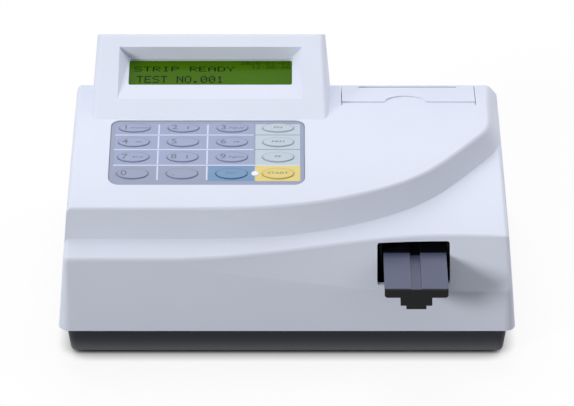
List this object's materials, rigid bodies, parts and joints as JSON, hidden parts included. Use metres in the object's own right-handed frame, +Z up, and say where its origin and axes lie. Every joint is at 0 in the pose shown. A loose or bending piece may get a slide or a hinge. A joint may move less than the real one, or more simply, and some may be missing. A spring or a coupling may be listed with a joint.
{
  "type": "urine analyzer",
  "caption": "Bench urine analyzer with a swoosh-shaped white cover on a dark base, display console, membrane keypad, printer lid and a sliding strip tray.",
  "frame": {"origin": "centre of the overall box, on the surface that the feet stand on", "axes": "+X to the right seen from the front, +Y towards the back, +Z up; the tray opens towards -Y"},
  "size_m": [0.29, 0.237, 0.1331],
  "materials": {
    "cover_white": "satin, fine grain",
    "base_dark": "fine spark texture",
    "rubber": "matte",
    "steel": "satin",
    "steel_dark": "satin black",
    "film_clear": "smooth film",
    "overlay_film": "printed satin film",
    "key_pale": "printed satin film",
    "key_blue": "printed satin film",
    "key_yellow": "printed satin film",
    "lens": "clear",
    "lcd": "smooth",
    "circuit_board": "solder mask",
    "black_plastic": "satin",
    "tray_blue": "satin",
    "paper": "smooth thermal paper",
    "core_board": "wound board",
    "nylon": "natural",
    "platen_rubber": "ground",
    "aluminium": "satin",
    "brass": "plain"
  },
  "bodies": {
    "case": {"upper_housing": "cover_white", "base_housing": "base_dark", "feet": "rubber", "housing_screws": "steel", "switch_membrane": "film_clear", "keypad_overlay": "overlay_film", "status_light": "lens", "lcd_glass": "lcd", "lcd_frame": "steel_dark", "lcd_board": "circuit_board", "lid_pin": "steel", "paper_bay": "black_plastic", "printer_frame": "black_plastic", "print_head": "aluminium", "printer_motor": "steel", "tray_motor": "steel", "motor_bracket": "steel_dark", "tray_guide": "black_plastic", "optical_head": "black_plastic", "optical_lens": "lens", "optics_board": "circuit_board", "tray_sensor": "black_plastic", "board_standoffs": "brass", "main_board": "circuit_board", "power_supply": "aluminium", "power_inlet": "black_plastic", "switch_housing": "black_plastic", "serial_port": "steel"},
    "tray": {"tray_carriage": "black_plastic", "strip_tray": "tray_blue"},
    "drive_pinion": {"tray_pinion": "nylon"},
    "lid": {"printer_lid": "cover_white"},
    "platen": {"platen_roller": "platen_rubber", "platen_gear": "nylon"},
    "feed_gear": {"motor_gear": "nylon"},
    "paper": {"paper_roll": "paper", "paper_core": "core_board"},
    "rocker": {"power_rocker": "black_plastic"},
    "press_1": {"key_1": "overlay_film"},
    "press_2": {"key_2": "overlay_film"},
    "press_3": {"key_3": "overlay_film"},
    "press_fn": {"key_fn": "key_pale"},
    "press_4": {"key_4": "overlay_film"},
    "press_5": {"key_5": "overlay_film"},
    "press_6": {"key_6": "overlay_film"},
    "press_prn": {"key_prn": "key_pale"},
    "press_7": {"key_7": "overlay_film"},
    "press_8": {"key_8": "overlay_film"},
    "press_9": {"key_9": "overlay_film"},
    "press_feed": {"key_feed": "key_pale"},
    "press_0": {"key_0": "overlay_film"},
    "press_point": {"key_point": "overlay_film"},
    "press_esc": {"key_esc": "key_blue"},
    "press_start": {"key_start": "key_yellow"}
  },
  "joints": [
    {"name": "tray_slide", "type": "slide", "parent": "case", "child": "tray", "axis": [0, -1, 0], "range_m": [-0.03, 0.045]},
    {"name": "pinion_spin", "type": "hinge", "parent": "case", "child": "drive_pinion", "pos_m": [0.09815, -0.05093, 0.058], "axis": [0, 0, 1], "range_deg": [-270, 404]},
    {"name": "lid_hinge", "type": "hinge", "parent": "case", "child": "lid", "pos_m": [0.0796, 0.09937, 0.0803], "axis": [-1, 0, 0], "range_deg": [0, 95]},
    {"name": "platen_spin", "type": "hinge", "parent": "case", "child": "platen", "pos_m": [0.0796, 0.06907, 0.0925], "axis": [1, 0, 0], "continuous": true},
    {"name": "feed_gear_spin", "type": "hinge", "parent": "case", "child": "feed_gear", "pos_m": [0.0796, 0.06026, 0.08511], "axis": [1, 0, 0], "continuous": true},
    {"name": "paper_spin", "type": "hinge", "parent": "case", "child": "paper", "pos_m": [0.0796, 0.08107, 0.062], "axis": [1, 0, 0], "continuous": true},
    {"name": "rocker_tilt", "type": "hinge", "parent": "case", "child": "rocker", "pos_m": [-0.063, 0.10919, 0.04577], "axis": [1, 0, 0], "range_deg": [0, 16]},
    {"name": "press_1_slide", "type": "slide", "parent": "case", "child": "press_1", "axis": [0, 0.0463, -0.9989], "range_m": [0, 0.00045], "stiffness_N_per_m": 600, "springref_m": -0.0004},
    {"name": "press_2_slide", "type": "slide", "parent": "case", "child": "press_2", "axis": [0, 0.0463, -0.9989], "range_m": [0, 0.00045], "stiffness_N_per_m": 600, "springref_m": -0.0004},
    {"name": "press_3_slide", "type": "slide", "parent": "case", "child": "press_3", "axis": [0, 0.0463, -0.9989], "range_m": [0, 0.00045], "stiffness_N_per_m": 600, "springref_m": -0.0004},
    {"name": "press_fn_slide", "type": "slide", "parent": "case", "child": "press_fn", "axis": [0, 0.0463, -0.9989], "range_m": [0, 0.00045], "stiffness_N_per_m": 600, "springref_m": -0.0004},
    {"name": "press_4_slide", "type": "slide", "parent": "case", "child": "press_4", "axis": [0, 0.0939, -0.9956], "range_m": [0, 0.00045], "stiffness_N_per_m": 600, "springref_m": -0.0004},
    {"name": "press_5_slide", "type": "slide", "parent": "case", "child": "press_5", "axis": [0, 0.0939, -0.9956], "range_m": [0, 0.00045], "stiffness_N_per_m": 600, "springref_m": -0.0004},
    {"name": "press_6_slide", "type": "slide", "parent": "case", "child": "press_6", "axis": [0, 0.0939, -0.9956], "range_m": [0, 0.00045], "stiffness_N_per_m": 600, "springref_m": -0.0004},
    {"name": "press_prn_slide", "type": "slide", "parent": "case", "child": "press_prn", "axis": [0, 0.0939, -0.9956], "range_m": [0, 0.00045], "stiffness_N_per_m": 600, "springref_m": -0.0004},
    {"name": "press_7_slide", "type": "slide", "parent": "case", "child": "press_7", "axis": [0, 0.1404, -0.9901], "range_m": [0, 0.00045], "stiffness_N_per_m": 600, "springref_m": -0.0004},
    {"name": "press_8_slide", "type": "slide", "parent": "case", "child": "press_8", "axis": [0, 0.1404, -0.9901], "range_m": [0, 0.00045], "stiffness_N_per_m": 600, "springref_m": -0.0004},
    {"name": "press_9_slide", "type": "slide", "parent": "case", "child": "press_9", "axis": [0, 0.1404, -0.9901], "range_m": [0, 0.00045], "stiffness_N_per_m": 600, "springref_m": -0.0004},
    {"name": "press_feed_slide", "type": "slide", "parent": "case", "child": "press_feed", "axis": [0, 0.1404, -0.9901], "range_m": [0, 0.00045], "stiffness_N_per_m": 600, "springref_m": -0.0004},
    {"name": "press_0_slide", "type": "slide", "parent": "case", "child": "press_0", "axis": [0, 0.1877, -0.9822], "range_m": [0, 0.00045], "stiffness_N_per_m": 600, "springref_m": -0.0004},
    {"name": "press_point_slide", "type": "slide", "parent": "case", "child": "press_point", "axis": [0, 0.1877, -0.9822], "range_m": [0, 0.00045], "stiffness_N_per_m": 600, "springref_m": -0.0004},
    {"name": "press_esc_slide", "type": "slide", "parent": "case", "child": "press_esc", "axis": [0, 0.1877, -0.9822], "range_m": [0, 0.00045], "stiffness_N_per_m": 600, "springref_m": -0.0004},
    {"name": "press_start_slide", "type": "slide", "parent": "case", "child": "press_start", "axis": [0, 0.1877, -0.9822], "range_m": [0, 0.00045], "stiffness_N_per_m": 600, "springref_m": -0.0004}
  ],
  "couplings": [
    {"joint": "pinion_spin", "follows": "tray_slide", "rad_per_m": 156.25},
    {"joint": "feed_gear_spin", "follows": "platen_spin", "ratio": -2.8},
    {"joint": "paper_spin", "follows": "platen_spin", "ratio": -0.26316}
  ]
}
